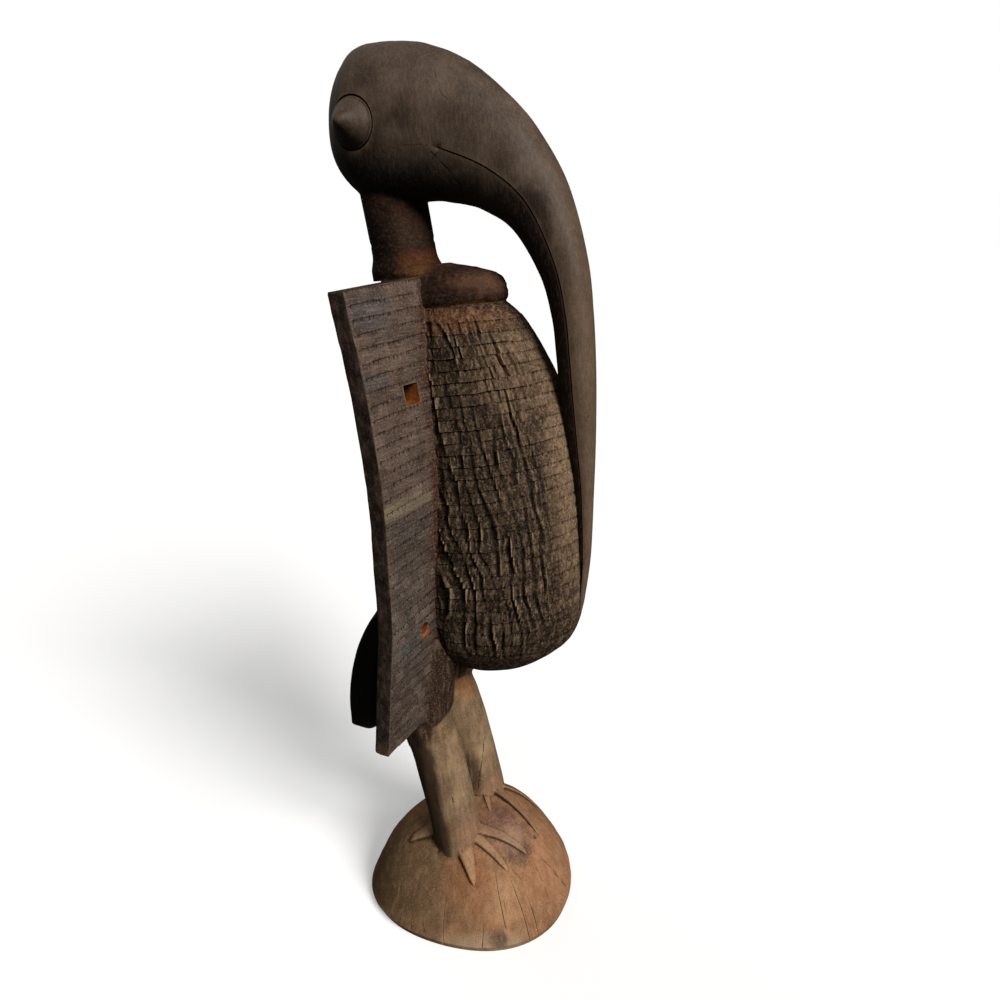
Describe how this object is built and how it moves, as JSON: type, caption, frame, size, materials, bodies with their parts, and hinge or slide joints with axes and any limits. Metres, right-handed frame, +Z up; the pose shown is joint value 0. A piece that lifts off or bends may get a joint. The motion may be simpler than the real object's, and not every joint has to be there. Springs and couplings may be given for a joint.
{
  "type": "carved wooden hornbill figure",
  "caption": "Tall carved wooden hornbill standing on a domed base, its long curved beak resting on a scored belly, with board-like wings, a short tail and cord holes.",
  "frame": {"origin": "middle of the flat underside of the base, midway between the legs", "axes": "+Z up, the bird faces -Y, its left side is +X"},
  "size_m": [0.41, 0.4811, 1.4115],
  "materials": {
    "weathered_carved_wood": "dry weathered hardwood with a dark brown patina, worn to reddish brown on the base and khaki on the legs"
  },
  "bodies": {
    "root": {"hornbill_figure": "weathered_carved_wood"}
  },
  "joints": []
}
